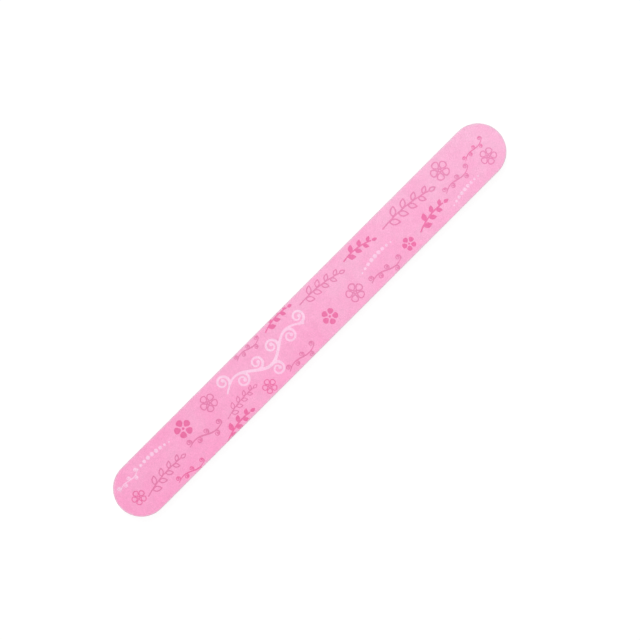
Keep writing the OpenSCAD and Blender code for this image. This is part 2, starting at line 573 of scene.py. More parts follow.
# %% Vine
def vine_recipe():
    """A waving stem that throws curls to either side in turn, each ending in a small ball."""
    tree, given = new_tree(
        "Vine", length=12 * MM, wave=0.8 * MM, waves=1.0, curls=5, curl_radius=0.9 * MM, turns=1.3,
        ball=0.34 * MM, stroke=STROKE,
    )
    factor = add(tree, "SplineParameter").outputs["Factor"]
    stem = vine_stem(tree, given, factor)
    points, heading, side = buds(tree, stem, 0.08, 0.95, given["curls"], 1.0)
    curls = add(tree, "InstanceOnPoints", {
        "Points": points, "Instance": vine_curl(tree, given, factor),
        "Rotation": add(tree, "CombineXYZ", {"Z": heading}),
        "Scale": add(tree, "CombineXYZ", 1.0, side, 1.0),
    })
    curls = add(tree, "RealizeInstances", curls)
    tips = add(tree, "CurveEndpointSelection", {"Start Size": 0, "End Size": 1})
    ring = add(tree, "CurvePrimitiveCircle", {"Resolution": 14, "Radius": given["ball"]})
    balls = add(tree, "InstanceOnPoints", {
        "Points": curls, "Selection": tips, "Instance": solids(tree, ring),
    })
    full = fullest_in_middle(tree, factor, 0.5)
    thin = add(tree, "MapRange", factor, 0.0, 1.0, 0.95, 0.5)
    lines = [strokes(tree, given, stem, full), strokes(tree, given, curls, thin)]
    return close_tree(tree, given, *lines, balls)


vine = vine_recipe()
print("Vine:", len(vine.nodes), "nodes")


# %% String of dots
def dots_recipe():
    """Dots along a shallow bow, largest in the middle."""
    tree, given = new_tree("Dots", length=14 * MM, bow=0.7 * MM, dots=9, dot=0.74 * MM)
    places = add(tree, "CurveToPoints", {"Curve": bowed_line(tree, given), "Count": given["dots"]})
    last = add(tree, "Math", given["dots"], 1.0, operation="SUBTRACT")
    share = add(tree, "Math", add(tree, "InputIndex"), last, operation="DIVIDE")
    size = fullest_in_middle(tree, share, 0.45)
    ring = add(tree, "CurvePrimitiveCircle", {"Resolution": 18, "Radius": given["dot"]})
    dots = add(tree, "InstanceOnPoints", {
        "Points": places, "Instance": solids(tree, ring), "Scale": size,
    })
    return close_tree(tree, given, dots)


dots = dots_recipe()
print("String of dots:", len(dots.nodes), "nodes")

# %% Cut the stencils
stencils = {
    "line_sprig": grow(sprig),
    "line_blossom": grow(blossom),
    "solid_sprig": grow(sprig, length=13 * MM, leaves=7, leaf_length=3.2 * MM, leaf_width=1.0 * MM,
                        stroke=0.55 * MM, solid=True),
    "solid_blossom": grow(blossom, petal_length=2.6 * MM, petal_width=1.25 * MM, heart=0.85 * MM,
                          solid=True),
    "small_vine": grow(vine),
    "great_vine": grow(vine, length=38 * MM, wave=3.0 * MM, waves=1.5, curls=7, curl_radius=2.7 * MM,
                       ball=0.7 * MM, stroke=1.15 * MM),
    "dots": grow(dots),
}
for name, mesh in stencils.items():
    print(name, len(mesh.polygons), "faces")

# %% [markdown]
# ## The print
# A screen printer lays the motifs out by hand on one plate, and the plate repeats along and across
# the sheet. The boards are then punched out of the sheet wherever they fall, so some motifs are cut
# off at the edge, and the two faces of a board show different parts of the same print. Four inks do
# the work: the pink ground, a dusty mauve for fine lines, a strong rose for solid shapes, and a
# pale pink. A scatter at random would leave heaps and holes, so the plate is given here as a list,
# one motif at a time.

# %% Lay out the plate
PLATE_LENGTH, PLATE_WIDTH = 174 * MM, 20.5 * MM
PLATE = [  # stencil, ink, place along and across the board in mm, turn in degrees, size
    ("line_blossom", "rose", -82.2, -1.6, 15, 0.74),
    ("small_vine", "pale", -80.6, 4.7, 9, 0.8),
    ("line_sprig", "mauve", -71.5, -2.9, 5, 0.84),
    ("dots", "pale", -69.0, 4.9, -4, 1.0),
    ("small_vine", "rose", -63.5, -7.9, -3, 0.95),
    ("solid_blossom", "rose", -55.5, 4.2, 12, 0.9),
    ("small_vine", "mauve", -51.5, -2.6, -6, 1.15),
    ("line_blossom", "mauve", -43.5, 4.3, 30, 0.9),
    ("solid_sprig", "rose", -42.0, -8.6, 9, 0.95),
    ("line_sprig", "mauve", -36.0, -3.4, 6, 0.66),
    ("great_vine", "pale", -19.5, 1.2, -2, 0.92),
    ("small_vine", "mauve", -21.5, 7.7, 3, 0.9),
    ("line_blossom", "rose", -25.0, -6.2, 10, 0.74),
    ("solid_sprig", "rose", -8.0, 7.9, 5, 0.85),
    ("small_vine", "mauve", -10.5, -7.0, 5, 1.05),
    ("line_sprig", "mauve", 9.5, 5.0, -6, 0.84),
    ("solid_blossom", "rose", 5.6, -3.9, 40, 0.8),
    ("line_blossom", "mauve", 17.3, -4.2, 8, 0.95),
    ("solid_sprig", "rose", 27.5, 5.0, -7, 0.9),
    ("dots", "pale", 30.5, -1.0, 3, 1.0),
    ("small_vine", "mauve", 30.0, -6.4, -3, 1.1),
    ("solid_blossom", "rose", 41.5, -5.4, 20, 0.68),
    ("line_sprig", "mauve", 48.5, 3.3, -5, 1.0),
    ("solid_sprig", "rose", 53.0, -4.7, 8, 0.95),
    ("line_blossom", "mauve", 66.0, 4.6, 18, 0.98),
    ("dots", "pale", 67.5, -6.4, 6, 0.9),
    ("small_vine", "mauve", 68.0, -1.7, 8, 1.0),
    ("small_vine", "rose", 79.0, 1.6, 12, 0.8),
    ("line_blossom", "mauve", 80.8, -3.5, 40, 0.85),
]
print(len(PLATE), "motifs on the plate")


# %% Print the sheet
def printed_shapes(shift, way):
    """Every scrap of ink that falls on the board, as its ink and the corners of a triangle in
    millimetres. The plate is repeated round itself and shifted, and way is -1 for a print seen
    from behind."""
    shapes = []
    for stencil, ink, along, across, turn, size in PLATE:
        mesh = stencils[stencil]
        mesh.calc_loop_triangles()
        corners = np.array([v.co[:2] for v in mesh.vertices]) / MM * size
        cosine, sine = math.cos(math.radians(turn)), math.sin(math.radians(turn))
        corners = corners @ np.array([[cosine, sine], [-sine, cosine]]) + (along, across)
        for repeat in ((i, j) for i in (-1, 0, 1) for j in (-1, 0, 1)):
            moved = corners + np.multiply(repeat, (PLATE_LENGTH, PLATE_WIDTH)) / MM + np.array(shift) / MM
            moved *= (1, way)
            reach = np.array([board_length, board_width]) / 2 / MM
            if (moved.max(axis=0) > -reach).all() and (moved.min(axis=0) < reach).all():
                shapes += [(ink, moved[list(scrap.vertices)]) for scrap in mesh.loop_triangles]
    return shapes


LOWER_SHIFT = (97 * MM, 10 * MM)  # the lower face was cut from another part of the sheet
upper_print = printed_shapes((0, 0), 1)
lower_print = printed_shapes(LOWER_SHIFT, -1)
print("Printed shapes:", len(upper_print), "above and", len(lower_print), "below")


# %% Let the ink creep
CREEP = 0.07  # in mm: how far wet ink creeps along the grains at most
CREEP_WAVE = 0.3  # in mm: the length of the waves that this gives the edge of the print
EDGE_STEP = 0.16  # in mm: the edge is drawn in steps of about this size
noise.seed_set(5)  # without a seed of its own, this noise would start from the clock


def creep(place):
    """How far the print has moved at a place, because the ink crept along the grains there."""
    return noise.noise_vector((*(place / CREEP_WAVE), 0)).xy * CREEP


print("Creep at the middle of the board:", [round(way, 3) for way in creep(Vector((0, 0)))], "mm")

# %% Melt the print's shapes together
FUSE = 0.004  # in mm: corners closer than this become one
INK_ORDER = ["pink", "pale", "mauve", "rose"]  # each prints over the ones before it


def ink_finder(shapes):
    """A function that tells the ink at any place. Each ink is laid a step above the ones that it
    prints over, so a look straight down meets the last one first."""
    corners = [(x, y, INK_ORDER.index(ink)) for ink, scrap in shapes for x, y in scrap]
    stack = BVHTree.FromPolygons(corners, [(k, k + 1, k + 2) for k in range(0, len(corners), 3)])

    def ink_at(place):
        """The ink there, as its number in the order of printing."""
        hit = stack.ray_cast((*place, len(INK_ORDER)), (0, 0, -1))[0]
        return 0 if hit is None else round(hit.z)

    return ink_at


def ink_edges(shapes, ink_at):
    """The lines on which one ink ends and another begins, in short steps and with their creep."""
    corners = [Vector(corner) for _, scrap in shapes for corner in scrap]
    sides = [(k + a, k + b) for k in range(0, len(corners), 3) for a, b in ((0, 1), (1, 2), (2, 0))]
    places, _, triangles, _, _, _ = delaunay_2d_cdt(corners, sides, [], 1, FUSE)
    beside = {}
    for a, b, c in triangles:
        ink = ink_at((places[a] + places[b] + places[c]) / 3)
        for edge in ((a, b), (b, c), (c, a)):
            beside.setdefault((min(edge), max(edge)), []).append(ink)
    lines = []
    for (a, b), found in beside.items():
        if len({*found} if len(found) > 1 else {0, *found}) > 1:
            steps = math.ceil((places[a] - places[b]).length / EDGE_STEP)
            path = [places[a].lerp(places[b], k / steps) for k in range(steps + 1)]
            path = [place + creep(place) for place in path]
            lines += zip(path, path[1:])
    return lines


print("Ink edges on the upper face:", len(ink_edges(upper_print, ink_finder(upper_print))))

# %% [markdown]
# ## The grit
# The grit is a crowd of sharp grains. A scan of it looks like a mountain range: peaks at random but
# even distances, with hollows between them. Geometry Nodes scatters the tips first and then fills
# in the hollows, and both remember how high they stand. The points are joined to a net of triangles
# in the next step. The lower face is the finer one, so its grains stand closer. A regular grid
# pushed up and down would be simpler, but its rows would show in raking light.


# %% Scatter the grains
def grain_recipe():
    """Points for the grains' tips, and more for the hollows between them, with their heights."""
    tree, given = new_tree("Grains", tip_gap=0.32 * MM, hollow_gap=0.153 * MM, seed=1)
    groups = {}
    for offset, (group, gap, heights) in enumerate((
        ("tips", "tip_gap", {"Min": 0.66, "Max": 1.0}),
        ("hollows", "hollow_gap", {"Min": 0.28, "Max": 0.52}),
    )):
        area = add(tree, "Math", given[gap], 2.0, operation="POWER")
        tries = add(tree, "Math", 4.0, area, operation="DIVIDE")
        seed = add(tree, "Math", given["seed"], float(offset), operation="ADD")
        points = add(tree, "DistributePointsOnFaces", {
            "Mesh": given["Geometry"], "Distance Min": given[gap], "Density Max": tries, "Seed": seed,
        }, distribute_method="POISSON")
        height = add(tree, "RandomValue", {**heights, "Seed": seed})
        groups[group] = add(tree, "StoreNamedAttribute", {
            "Geometry": points, "Name": "height", "Value": height,
        })
    tips = add(tree, "PointsToVertices", groups["tips"])
    beside = add(tree, "Proximity", tips, target_element="POINTS").outputs["Distance"]
    clear = add(tree, "Math", given["hollow_gap"], 0.85, operation="MULTIPLY")
    crowded = add(tree, "Math", beside, clear, operation="LESS_THAN")
    hollows = add(tree, "PointsToVertices", groups["hollows"])
    hollows = add(tree, "DeleteGeometry", {"Geometry": hollows, "Selection": crowded})
    return close_tree(tree, given, tips, hollows)


grains = grain_recipe()
print("Grains:", len(grains.nodes), "nodes")

# %% The sheet that the grains fall on
SEED_INSET = 0.22 * MM  # the loose grains along the rim are the outline's own points
inner_sheet = bpy.data.meshes.new("inner_sheet")
sheet_corners = plan_ring(SEED_INSET, 0.5 * MM)[0]
inner_sheet.from_pydata([(x, y, 0) for x, y in sheet_corners], [], [list(range(len(sheet_corners)))])
print("Corners of the sheet:", len(sheet_corners))

# %% [markdown]
# ## A skin of grit with the print in it
# The ink has a sharp edge, much finer than the grains. A net of triangles that is forced to keep
# certain edges (a constrained Delaunay net) can hold both: the grains' points make the relief, and
# the outlines of the print and of the board are edges of the net. Each triangle then takes its ink
# from where its middle lies. A side wall and a floor close the skin, so it is a solid to print in
# 3-D as well. The net is also cut into three bands along the board, because its texture map is
# three bands laid one above the other: a long thin board would waste most of a square map.

# %% Sizes of the skin
BANDS = 3
band_length = board_length / BANDS
grit_inset = setback("upper_grit")
RAGGED = 0.05 * MM  # how far in from the coat's edge the die has torn grains out
RIM_SLOPE = 0.4 * MM  # the grit falls off within this far of its edge
TOP_STARTS = 0.04  # the top lies above this in the texture map, and the wall and floor below it
MARGIN = 0.006  # the clear share of the map round each band
STRIP_MARGIN = 0.1  # the clear share of a narrow strip of the map below and above what it holds
STRIP_FILL = 1 - 2 * STRIP_MARGIN
print(f"Bands of {band_length / MM:.1f} mm, and the coat stands {grit_inset / MM:.2f} mm in")


# %% What the net has to hold
CLEAR = 0.08  # in mm: a grain closer than this to the edge of the print would give slivers
OUTLINE_STEP = 0.15 * MM  # how finely the torn outline is drawn
CUT_POINTS = 100  # along each line between two bands


def torn_outline(luck):
    """The coat's outline in millimetres, torn in a little by the die."""
    outline = [Vector(corner) / MM for corner in plan_ring(grit_inset, OUTLINE_STEP)[0]]
    return [corner * (1 - luck.random() * RAGGED / MM / corner.length) for corner in outline]


def band_cuts():
    """The lines between the bands in short steps, each as two places in millimetres."""
    rows = np.linspace(cad_low[1] / MM, cad_high[1] / MM, CUT_POINTS)
    cuts = []
    for k in range(1, BANDS):
        x = (cad_low[0] + k * band_length) / MM
        cuts += [(Vector((x, low)), Vector((x, high))) for low, high in zip(rows, rows[1:])]
    return cuts


def clear_grains(lines, gaps, seed):
    """The grains that lie clear of the lines, each as a place in millimetres and a height."""
    points = grow(grains, inner_sheet, seed=seed, **gaps)
    reads = [(v.co.xy / MM, h.value) for v, h in zip(points.vertices, points.attributes["height"].data)]
    marks = KDTree(3 * len(lines))
    for a, b in lines:
        for place in (a, b, (a + b) / 2):
            marks.insert((*place, 0), 0)
    marks.balance()
    return [(place, height) for place, height in reads if marks.find((*place, 0))[2] > CLEAR]


print("Steps in the lines between the bands:", len(band_cuts()))

# %% Net of triangles
EDGE_HEIGHTS = 0.4, 0.56  # how high the corners of the print and the rim stand, between root and tips
RIM_SHARE = 0.45  # what the slope leaves of a height right at the rim


def grit_net(shapes, gaps, seed):
    """The net of one face, in millimetres: its places, heights from 0 to 1, triangles and inks."""
    luck = random.Random(seed)
    outline = torn_outline(luck)
    ink_at = ink_finder(shapes)
    lines = ink_edges(shapes, ink_at) + band_cuts()
    reads = clear_grains(lines, gaps, seed)
    corners = outline + [end for line in lines for end in line] + [place for place, _ in reads]
    first_grain = len(corners) - len(reads)
    edges = [(k, k + 1) for k in range(len(outline), first_grain, 2)]
    places, _, triangles, origins, _, inside = delaunay_2d_cdt(
        corners, edges, [list(range(len(outline)))], 1, FUSE
    )
    triangles = [triangle for triangle, held in zip(triangles, inside) if held]
    used = sorted({k for triangle in triangles for k in triangle})
    renumber = {k: n for n, k in enumerate(used)}
    triangles = [tuple(renumber[k] for k in triangle) for triangle in triangles]
    places = [places[k] for k in used]
    heights = []
    for place, old in zip(places, used):
        grain = next((k - first_grain for k in origins[old] if k >= first_grain), None)
        height = luck.uniform(*EDGE_HEIGHTS) if grain is None else reads[grain][1]
        slope = (inset_at(place.x * MM, place.y * MM) - grit_inset) / RIM_SLOPE
        heights.append(height * min(max(RIM_SHARE + (1 - RIM_SHARE) * slope, RIM_SHARE), 1.0))
    middles = [(places[a] + places[b] + places[c]) / 3 for a, b, c in triangles]
    return places, heights, triangles, [ink_at(middle - creep(middle)) for middle in middles]


print(f"The rim stands {RIM_SHARE:.0%} as high as the rest")


# %% Texture map of a skin
def lay_out_bands(mesh, tops):
    """Lays the map out: the top in bands, one above the other, and the rest in a strip below."""
    loops = np.empty(len(mesh.loops), int)
    mesh.loops.foreach_get("vertex_index", loops)
    starts, counts = (np.empty(len(mesh.polygons), int) for _ in range(2))
    mesh.polygons.foreach_get("loop_start", starts)
    mesh.polygons.foreach_get("loop_total", counts)
    spots = np.array([v.co[:2] for v in mesh.vertices])[loops]
    share = (spots - (cad_low[0], cad_low[1])) / (board_length, board_width)
    middles = np.add.reduceat(share[:, 0], starts) / counts
    band = np.repeat(np.clip((middles * BANDS).astype(int), 0, BANDS - 1), counts)
    on_top = np.repeat(np.arange(len(counts)) < tops, counts)
    band_height = (1 - TOP_STARTS) / BANDS
    along = MARGIN + (share[:, 0] * BANDS - band) * (1 - 2 * MARGIN)
    across = TOP_STARTS + band * band_height + MARGIN + share[:, 1] * (band_height - 2 * MARGIN)
    u = np.where(on_top, along, share[:, 0])
    below = (STRIP_MARGIN + STRIP_FILL * share[:, 1]) * (TOP_STARTS - MARGIN)
    v = np.where(on_top, across, below)
    mesh.uv_layers.new(name="OFBake").data.foreach_set("uv", np.column_stack([u, v]).ravel())


print(f"A band fills {(1 - TOP_STARTS) / BANDS:.0%} of the map's height")


# %% Close the skin
def in_scene(name, mesh, node):
    """Puts a piece in the scene in place of its CAD node."""
    piece = new_object(name, mesh)
    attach(piece, "root")
    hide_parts(node)
    print(name, len(mesh.polygons), "faces")
    return piece


def grit_skin(node, shapes, gaps, seed, root, tip):
    """A closed skin of grit, from its root plane to its highest tips."""
    places, heights, triangles, inks_of = grit_net(shapes, gaps, seed)
    ways = {(a, b) for t in triangles for a, b in zip(t, (*t[1:], t[0]))}
    follow = {a: b for a, b in ways if (b, a) not in ways}
    ring = [next(iter(follow))]
    while follow[ring[-1]] != ring[0]:
        ring.append(follow[ring[-1]])
    top = [(x * MM, y * MM, root + (tip - root) * h) for (x, y), h in zip(places, heights)]
    foot = [(places[k].x * MM, places[k].y * MM, root) for k in ring]
    foot_of = {k: len(top) + n for n, k in enumerate(ring)}
    wall = [(foot_of[a], foot_of[follow[a]], follow[a], a) for a in ring]
    floor = [foot_of[k] for k in reversed(ring)]
    faces = [*triangles, *wall, floor]
    if tip < root:
        faces = [face[::-1] for face in faces]
    mesh = bpy.data.meshes.new(node + "_skin")
    mesh.from_pydata(top + foot, [], faces)
    for ink in INK_ORDER:
        mesh.materials.append(inks[ink])
    mesh.polygons.foreach_set("material_index", inks_of + [0] * (len(wall) + 1))
    lay_out_bands(mesh, len(triangles))
    mesh.update()
    in_scene(mesh.name, mesh, node)


UPPER_SEED, LOWER_SEED = 11, 23
FINER = {"tip_gap": 0.27 * MM, "hollow_gap": 0.15 * MM}
grit_skin("upper_grit", upper_print, {}, UPPER_SEED, *levels("upper_grit"))
grit_skin("lower_grit", lower_print, FINER, LOWER_SEED, *reversed(levels("lower_grit")))

# %% [markdown]
# ## Layers with a cut edge
# The die cuts foam, paper and plastic in one stroke, and each tears in its own way. The foam opens
# into half cells, the paper leaves fine fibres, and the plastic keeps upright drag marks. Each
# layer is its half section from the frame, swept round the plan as a fine net, whose edge a
# geometry tree then presses in by a pattern. Marks only ever go inwards, so a layer stays inside
# the size it was drawn to. Bump in the finish could draw the marks as well, but the edge is seen
# side on, where only real relief changes the outline.


# %% Texture map of a layer
STRIPS = 18  # the long edge is folded into this many strips in its texture map


def lay_out_strips(mesh, corners, around, rows):
    """Lays the map out: the edge in strips, one above the other, and both faces in a strip below."""
    per_strip = math.ceil(around / STRIPS)
    strip_height = (1 - TOP_STARTS) / STRIPS
    spots = []
    for n in range(around * rows):
        row, k = divmod(n, around)
        strip, place = divmod(k, per_strip)
        foot = TOP_STARTS + strip * strip_height
        left, right = (MARGIN + (1 - 2 * MARGIN) * (place + on) / per_strip for on in (0, 1))
        shares = (STRIP_MARGIN + STRIP_FILL * (row + up) / rows for up in (0, 1))
        low, high = (foot + strip_height * share for share in shares)
        spots += [(left, low), (right, low), (right, high), (left, high)]
    for loop in mesh.loops[len(spots):]:
        x, y, _ = corners[loop.vertex_index]
        across = (0.5 + STRIP_FILL * y / board_width) * (TOP_STARTS - MARGIN)
        spots.append((x / board_length + 0.5, across))
    mesh.uv_layers.new(name="OFBake").data.foreach_set("uv", np.ravel(spots))


print("Strips that the edge is folded into:", STRIPS)


# %% Sweep a half section round the plan
CUT_STEP = 0.12 * MM  # along the edge of paper and plastic, in the net
FOAM_STEP = 0.08 * MM  # the same for foam, whose cells are small


def swept_layer(name, section, step):
    """A solid layer. The section is a list of insets and heights, from the bottom up."""
    first, arc_steps = plan_ring(section[0][0], step)
    around = len(first)
    corners = [(x, y, z) for inset, z in section for x, y in plan_ring(inset, step)[0]]
    top = (len(section) - 1) * around
    right_tip = arc_steps // 2
    halves = [(k, k + 1, (arc_steps - k - 1) % around, (arc_steps - k) % around)
              for k in range(right_tip, around // 2 + right_tip)]
    lids = [tuple(dict.fromkeys(face)) for face in halves]
    side = [(row + k, row + (k + 1) % around, row + around + (k + 1) % around, row + around + k)
            for row in range(0, top, around) for k in range(around)]
    mesh = bpy.data.meshes.new(name)
    mesh.from_pydata(corners, [], side + [face[::-1] for face in lids]
                     + [tuple(top + k for k in face) for face in lids])
    mesh.polygons.foreach_set("use_smooth", [k < len(side) for k in range(len(mesh.polygons))])
    lay_out_strips(mesh, corners, around, len(section) - 1)
    return mesh


print("Steps round each end, in paper and in foam:", *(plan_ring(0, s)[1] for s in (CUT_STEP, FOAM_STEP)))


# %% Marks of the cut
def cut_recipe():
    """Presses the edge of a layer in by a pattern: cells, or drag marks drawn out upright."""
    tree, given = new_tree("Cut edge", mark=0.4 * MM, upright=1.0, depth=0.1 * MM, cells=False, seed=0.0)
    place = add(tree, "InputPosition")
    outward = add(tree, "VectorMath", place, nearest_spine(tree, place), operation="SUBTRACT")
    outward = add(tree, "VectorMath", outward, operation="NORMALIZE")
    finer = add(tree, "Math", 1.0, given["mark"], operation="DIVIDE")
    flatter = add(tree, "Math", finer, given["upright"], operation="DIVIDE")
    scale = add(tree, "CombineXYZ", finer, finer, flatter)
    spot = add(tree, "VectorMath", place, scale, operation="MULTIPLY")
    cell = add(tree, "TexVoronoi", {"Vector": spot, "W": given["seed"], "Scale": 1.0},
               voronoi_dimensions="4D", feature="F1")
    hollow = add(tree, "MapRange", cell, 0.2, 0.62, 1.0, 0.0)
    streak = add(tree, "TexNoise", {"Vector": spot, "W": given["seed"], "Scale": 1.0, "Detail": 3.0},
                 noise_dimensions="4D")
    dragged = add(tree, "MapRange", streak, 0.3, 0.7)
    pattern = add(tree, "Switch", given["cells"], dragged, hollow, input_type="FLOAT")
    inward = add(tree, "Math", given["depth"], -1.0, operation="MULTIPLY")
    amount = add(tree, "Math", pattern, inward, operation="MULTIPLY")
    move = add(tree, "VectorMath", outward, {"Scale": amount}, operation="SCALE")
    cut = add(tree, "SetPosition", {"Geometry": given["Geometry"], "Offset": move})
    return close_tree(tree, given, cut)


cut_edge = cut_recipe()
print("Sizes that a cut edge is made from:", [s.name for s in cut_edge.interface.items_tree][2:])


# %% Sweep, cut and put in the scene
def cut_layer(node, section, step, slot, **marks):
    """A layer with a cut edge, in place of its CAD node."""
    cut = grow(cut_edge, swept_layer(node, section, step), **marks)
    return in_scene(node + "_cut", cut, node)


print("Layers to cut:", sum(node.endswith(("foam", "paper", "core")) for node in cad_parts))

# %% [markdown]
# ## Foam
# The cushion is cross-linked EVA foam, the same sort as in sandal soles: matt, soft to the eye, and
# full of closed cells. Where the die passed, the cells are cut open, so the edge is a wall of tiny
# cups with bright rims and darker hollows. The foam was squeezed while it was cut and sprang back,
# which leaves the edge drawn in at mid height. Real cells are about 0.15 mm across. Their colour,
# which paints the bright rims as painted highlight and the hollows as painted shade, is drawn a half
# larger, and the cups in the net twice as large, so that both can be seen. Cloth could be blown up
# to a cushion, but this foam is glued flat all over and can't crown, so it is swept like its
# neighbours.

# %% Foam finish
FOAM_CELL = 0.22 * MM  # across, as drawn


def cut_foam(name, rim, hollow):
    """Closed-cell EVA foam, cut open by a die. The bright cell rims are painted highlight, and the darker
    cups painted shade.
    """
    constants = {"IOR": 1.48, "Sheen Weight": 0.12, "Specular IOR Level": 0.3}
    material, tree, place = new_finish(name, constants)
    cell = add(tree, "TexVoronoi", {"Vector": place, "Scale": 1 / FOAM_CELL})
    take = add(tree, "SeparateColor", cell.outputs["Color"]).outputs
    # painted shade and highlight: the rim colour at a cell's edge turns to the hollow colour in its
    # middle
    painted_cup_shade = add(tree, "MapRange", cell, 0.1, 0.6, 1.0, 0.0)
    painted_cup_shade = add(tree, "Math", painted_cup_shade, take["Red"], operation="MULTIPLY")
    small = add(tree, "TexVoronoi", {"Vector": place, "Scale": 3 / FOAM_CELL})
    froth = add(tree, "MapRange", small, 0.1, 0.7, 0.94, 1.04)
    skin = add(tree, "Mix", painted_cup_shade, linear(rim), linear(hollow), data_type="RGBA")
    skin = add(tree, "Mix", 1.0, skin, froth, data_type="RGBA", blend_type="MULTIPLY")
    gloss = add(tree, "MapRange", take["Green"], 0.0, 1.0, 0.62, 0.92)
    bump = add(tree, "Bump", {"Height": small, "Strength": 0.5, "Distance": FOAM_CELL / 10})
    wire(tree, skin, gloss, bump)
    return material


# the first colour is painted highlight on the cell rims, the second painted shade in the cups
foam_finish = cut_foam("eva_foam_die_cut", "#F8C3DB", "#DC94B5")

# %% Foam layers
FOAM_WAIST = 0.14 * MM  # how much deeper the edge is drawn in at mid height
ROWS = 12  # in the net, from the foot of the edge to its top


def waisted_section(node, waist):
    """Half section of a foam layer, whose edge is drawn in along an arc."""
    low, high = levels(node)
    height = high - low
    radius = (height * height / 4 + waist * waist) / (2 * waist)
    section = []
    for k in range(ROWS + 1):
        level = height * k / ROWS
        drawn_in = math.sqrt(radius**2 - (level - height / 2) ** 2) - (radius - waist)
        section.append((setback(node) + drawn_in, low + level))
    return section


for number, node in enumerate(("upper_foam", "lower_foam")):
    foam = cut_layer(
        node, waisted_section(node, FOAM_WAIST), FOAM_STEP, "cushion_foam",
        mark=1.4 * FOAM_CELL, depth=0.08 * MM, cells=True, seed=4.0 + number, finish=foam_finish,
    )

# %% [markdown]
# ## Backing paper
# The grit is coated on a heavy paper that is soaked with latex, which makes it tough and slightly
# leathery. Its cut edge is nearly white and a little furry with fibres that lie in the plane of the
# sheet. The fibres are really about 0.02 mm thick, and are drawn three times as coarse. Single
# hairs could be grown on the edge, but at this size they would only blur it, so noise that is drawn
# out along the sheet stands for them.

# %% Paper finish
FIBRE = 0.06 * MM  # thick, as drawn


def soaked_paper(name, fibre, filler):
    """Latex-saturated paper: long flat fibres, paler than the filler between them."""
    constants = {"IOR": 1.5, "Specular IOR Level": 0.25, "Sheen Weight": 0.08}
    material, tree, place = new_finish(name, constants)
    flat = add(tree, "VectorMath", place, (0.12, 0.3, 1.0), operation="MULTIPLY")
    strands = add(tree, "TexNoise", {"Vector": flat, "Scale": 1 / FIBRE, "Detail": 3.0})
    clouds = add(tree, "TexNoise", {"Vector": place, "Scale": 0.06 / FIBRE, "Detail": 2.0})
    share = add(tree, "MapRange", strands, 0.35, 0.65)
    sheet = add(tree, "Mix", share, linear(filler), linear(fibre), data_type="RGBA")
    cloudy = add(tree, "MapRange", clouds, 0.3, 0.7, 0.95, 1.02)
    sheet = add(tree, "Mix", 1.0, sheet, cloudy, data_type="RGBA", blend_type="MULTIPLY")
    gloss = add(tree, "MapRange", strands, 0.3, 0.7, 0.72, 0.95)
    bump = add(tree, "Bump", {"Height": strands, "Strength": 0.6, "Distance": FIBRE / 3})
    wire(tree, sheet, gloss, bump)
    return material


paper_finish = soaked_paper("latex_saturated_paper", "#FBF5F3", "#E9DAD9")


# %% Paper layers
PAPER_RIM = 0.08 * MM  # radius of both rims
RIM_STEPS = 3  # in the net, round each rim


def rounded_section(node, rim, rows):
    """Half section of a sheet with both rims rounded, and so many rows between them."""
    inset, (low, high) = setback(node), levels(node)
    turns = [math.pi / 2 * k / RIM_STEPS for k in range(RIM_STEPS + 1)]
    lower = [(inset + rim * (1 - math.sin(a)), low + rim * (1 - math.cos(a))) for a in turns]
    upper = [(reach, low + high - z) for reach, z in reversed(lower)]
    straight = high - low - 2 * rim
    middle = [(inset, low + rim + straight * k / rows) for k in range(1, rows)]
    return lower + middle + upper


for number, node in enumerate(("upper_paper", "lower_paper")):
    cut_layer(
        node, rounded_section(node, PAPER_RIM, 3), CUT_STEP, "backing_paper",
        mark=0.25 * MM, upright=0.4, depth=0.03 * MM, seed=7.0 + number, finish=paper_finish,
    )

# %% [markdown]
# ## Core
# The stiff strip in the middle is high-impact polystyrene, a white plastic with a soft, slightly
# waxy shine. A die shears it part of the way and it snaps the rest: the sheared part of the edge is
# smooth with fine upright drag marks, and the snapped part is duller and rougher. The marks are
# drawn about three times as wide as the real ones. The two parts could be two finishes with a
# straight line between them. One finish with a wandering border is used, because a real strip snaps
# at no fixed height.

# %% Plastic finish
DRAG_MARK = 0.09 * MM  # wide, as drawn
core_low, core_high = levels("core")


def punched_plastic(name, clean, snapped):
    """High-impact polystyrene, punched: glossy where it sheared, dull where it snapped."""
    constants = {"IOR": 1.59, "Subsurface Weight": 0.08, "Subsurface Scale": 0.4 * MM}
    material, tree, place = new_finish(name, constants)
    split = add(tree, "SeparateXYZ", place).outputs
    upright = add(tree, "VectorMath", place, (1.0, 1.0, 0.08), operation="MULTIPLY")
    drags = add(tree, "TexNoise", {"Vector": upright, "Scale": 1 / DRAG_MARK, "Detail": 2.0})
    grain = add(tree, "TexNoise", {"Vector": place, "Scale": 1 / DRAG_MARK, "Detail": 3.0})
    reach = 0.12 * (core_high - core_low)
    wander = add(tree, "MapRange", drags, 0.3, 0.7, -reach, reach)
    level = add(tree, "Math", split["Z"], wander, operation="ADD")
    middle = core_low + 0.4 * (core_high - core_low)
    band = add(tree, "MapRange", level, middle + 0.08 * MM, middle - 0.08 * MM)
    skin = add(tree, "Mix", band, linear(clean), linear(snapped), data_type="RGBA")
    streaks = add(tree, "MapRange", drags, 0.3, 0.7, 0.97, 1.02)
    skin = add(tree, "Mix", 1.0, skin, streaks, data_type="RGBA", blend_type="MULTIPLY")
    gloss = add(tree, "MapRange", band, 0.0, 1.0, 0.32, 0.68)
    relief = add(tree, "Mix", band, drags, grain, data_type="FLOAT")
    bump = add(tree, "Bump", {"Height": relief, "Strength": 0.4, "Distance": DRAG_MARK / 4})
    wire(tree, skin, gloss, bump)
    return material


core_finish = punched_plastic("punched_polystyrene", "#F8F4F5", "#EEE8EA")

